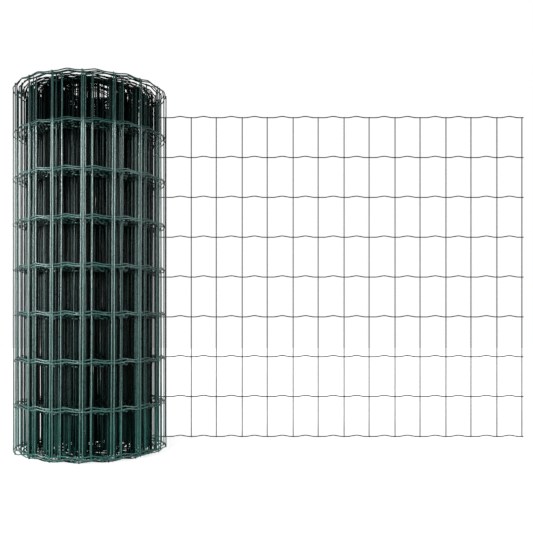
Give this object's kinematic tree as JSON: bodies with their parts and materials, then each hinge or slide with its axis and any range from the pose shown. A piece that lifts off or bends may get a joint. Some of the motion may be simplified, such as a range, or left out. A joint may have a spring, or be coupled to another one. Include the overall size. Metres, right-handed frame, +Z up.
{
  "type": "roll of welded wire fencing",
  "caption": "Roll of green plastic-coated welded wire fencing standing on its end, with its free end unrolled flat as a mesh sheet.",
  "frame": {"origin": "on the roll's axis, at the floor it stands on", "axes": "+Z up along the roll's axis; +X along the unrolled free end, which leaves the roll at its back, on the +Y side"},
  "size_m": [1.223, 0.3438, 0.829],
  "materials": {
    "coated_wire": "satin dark green plastic coating over steel wire"
  },
  "bodies": {
    "root": {"rolled_mesh": "coated_wire", "unrolled_mesh": "coated_wire"}
  },
  "joints": []
}
